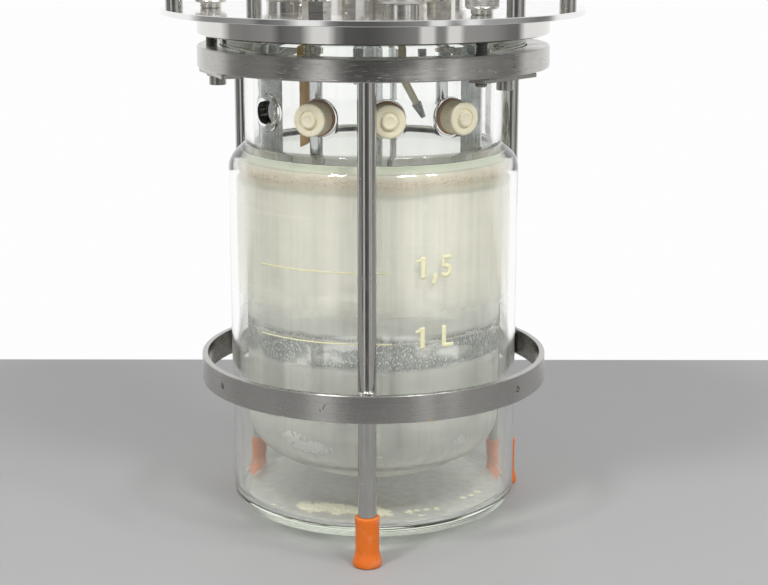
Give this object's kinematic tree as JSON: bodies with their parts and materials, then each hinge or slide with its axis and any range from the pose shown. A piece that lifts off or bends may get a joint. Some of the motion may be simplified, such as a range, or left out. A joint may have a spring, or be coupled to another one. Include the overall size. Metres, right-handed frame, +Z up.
{
  "type": "bench bioreactor",
  "caption": "Jacketed glass stirred vessel hung by its flange in a legged steel stand, with clamped steel lid, stirrer, baffles and side ports.",
  "frame": {"origin": "on the table, on the vessel's axis", "axes": "+Z up along the stirrer shaft, -Y to the front leg, +X to the right"},
  "size_m": [0.2252, 0.2252, 0.3432],
  "materials": {
    "ring_steel": "brushed and scratched",
    "band_steel": "satin, brushed along the band",
    "leg_steel": "polished, fine drawn lines",
    "lid_steel": "turned and polished",
    "mirror_steel": "mirror polished",
    "handle_steel": "polished",
    "knurled_steel": "diamond knurl, bright",
    "cap_steel": "satin",
    "fitting_steel": "bright turned",
    "wet_steel": "satin, dulled",
    "glass": "clear with limescale haze",
    "orange_silicone": "matt, slightly translucent",
    "cream_plastic": "fine moulded",
    "washer_silicone": "matt",
    "seal_silicone": "matt",
    "amber_silicone": "aged, translucent",
    "cream_silicone": "matt",
    "black_polymer": "matt"
  },
  "bodies": {
    "stand": {"flange_ring": "ring_steel", "holding_ring": "band_steel", "leg_1": "leg_steel", "leg_2": "leg_steel", "leg_3": "leg_steel", "feet": "orange_silicone", "clamp_studs": "fitting_steel", "stud_bars": "fitting_steel", "bar_screws": "fitting_steel", "vessel_seat": "seal_silicone", "glass_vessel": "glass", "glass_neck": "glass", "glass_jacket": "glass", "side_ports": "glass", "plug_washers": "washer_silicone"},
    "lid": {"lid_plate": "lid_steel", "top_disc": "mirror_steel", "lid_seal": "seal_silicone", "handle_1": "handle_steel", "handle_2": "handle_steel", "handle_screws": "fitting_steel", "gland_bodies": "fitting_steel", "addition_nipple": "fitting_steel", "addition_hose": "amber_silicone", "antifoam_hose": "cream_silicone", "antifoam_nozzle": "wet_steel", "baffle_1": "wet_steel", "baffle_2": "wet_steel", "baffle_3": "wet_steel", "baffle_nuts": "wet_steel", "drive_hub": "fitting_steel", "hub_screws": "fitting_steel", "hub_bearings": "fitting_steel", "hub_cover": "fitting_steel", "shaft_seal": "black_polymer", "left_port_body": "fitting_steel", "front_port_body": "fitting_steel", "rear_port_body": "fitting_steel", "harvest_tube": "wet_steel", "vent_tube": "wet_steel", "inoculation_tube": "wet_steel", "thermowell_tube": "wet_steel"},
    "stirrer": {"stirrer_shaft": "wet_steel", "upper_impeller": "wet_steel", "lower_impeller": "wet_steel", "drive_coupling": "fitting_steel"},
    "clamp_nut_1": {"clamp_nut_1": "knurled_steel"},
    "clamp_nut_2": {"clamp_nut_2": "knurled_steel"},
    "clamp_nut_3": {"clamp_nut_3": "knurled_steel"},
    "left_port_cap": {"left_port_cap": "cap_steel"},
    "front_port_cap": {"front_port_cap": "cap_steel"},
    "rear_port_cap": {"rear_port_cap": "cap_steel"},
    "harvest_gland_nut": {"harvest_gland_nut": "fitting_steel"},
    "vent_gland_nut": {"vent_gland_nut": "fitting_steel"},
    "inoculation_gland_nut": {"inoculation_gland_nut": "fitting_steel"},
    "thermowell_gland_nut": {"thermowell_gland_nut": "fitting_steel"},
    "side_plug_1": {"side_plug_1": "cream_plastic"},
    "side_plug_2": {"side_plug_2": "cream_plastic"},
    "side_plug_3": {"side_plug_3": "cream_plastic"}
  },
  "joints": [
    {"name": "lid_lift", "type": "slide", "parent": "stand", "child": "lid", "axis": [0, 0, 1], "range_m": [0, 0.26]},
    {"name": "stirrer_spin", "type": "hinge", "parent": "lid", "child": "stirrer", "pos_m": [0, 0, 0.2816], "axis": [0, 0, 1], "continuous": true},
    {"name": "clamp_nut_1_turn", "type": "hinge", "parent": "lid", "child": "clamp_nut_1", "pos_m": [-0.08531, -0.01305, 0.2816], "axis": [0, 0, 1], "continuous": true},
    {"name": "clamp_nut_2_turn", "type": "hinge", "parent": "lid", "child": "clamp_nut_2", "pos_m": [0.05396, -0.06735, 0.2816], "axis": [0, 0, 1], "continuous": true},
    {"name": "clamp_nut_3_turn", "type": "hinge", "parent": "lid", "child": "clamp_nut_3", "pos_m": [0.03135, 0.08041, 0.2816], "axis": [0, 0, 1], "continuous": true},
    {"name": "left_port_cap_turn", "type": "hinge", "parent": "lid", "child": "left_port_cap", "pos_m": [-0.04636, -0.01873, 0.2816], "axis": [0, 0, 1], "continuous": true},
    {"name": "front_port_cap_turn", "type": "hinge", "parent": "lid", "child": "front_port_cap", "pos_m": [0.0142, -0.04794, 0.2816], "axis": [0, 0, 1], "continuous": true},
    {"name": "rear_port_cap_turn", "type": "hinge", "parent": "lid", "child": "rear_port_cap", "pos_m": [0.0394, 0.03078, 0.2816], "axis": [0, 0, 1], "continuous": true},
    {"name": "harvest_gland_nut_turn", "type": "hinge", "parent": "lid", "child": "harvest_gland_nut", "pos_m": [-0.02847, -0.04682, 0.2816], "axis": [0, 0, 1], "continuous": true},
    {"name": "vent_gland_nut_turn", "type": "hinge", "parent": "lid", "child": "vent_gland_nut", "pos_m": [-0.00719, -0.03087, 0.2816], "axis": [0, 0, 1], "continuous": true},
    {"name": "inoculation_gland_nut_turn", "type": "hinge", "parent": "lid", "child": "inoculation_gland_nut", "pos_m": [0.03479, -0.03864, 0.2816], "axis": [0, 0, 1], "continuous": true},
    {"name": "thermowell_gland_nut_turn", "type": "hinge", "parent": "lid", "child": "thermowell_gland_nut", "pos_m": [0.01094, 0.03007, 0.2816], "axis": [0, 0, 1], "continuous": true},
    {"name": "side_plug_1_turn", "type": "hinge", "parent": "stand", "child": "side_plug_1", "pos_m": [-0.02702, -0.0649, 0.2302], "axis": [-0.3843, -0.9232, 0], "continuous": true},
    {"name": "side_plug_2_turn", "type": "hinge", "parent": "stand", "child": "side_plug_2", "pos_m": [0.0071, -0.06994, 0.2302], "axis": [0.1011, -0.9949, 0], "continuous": true},
    {"name": "side_plug_3_turn", "type": "hinge", "parent": "stand", "child": "side_plug_3", "pos_m": [0.03951, -0.05814, 0.2302], "axis": [0.5621, -0.8271, 0], "continuous": true}
  ]
}
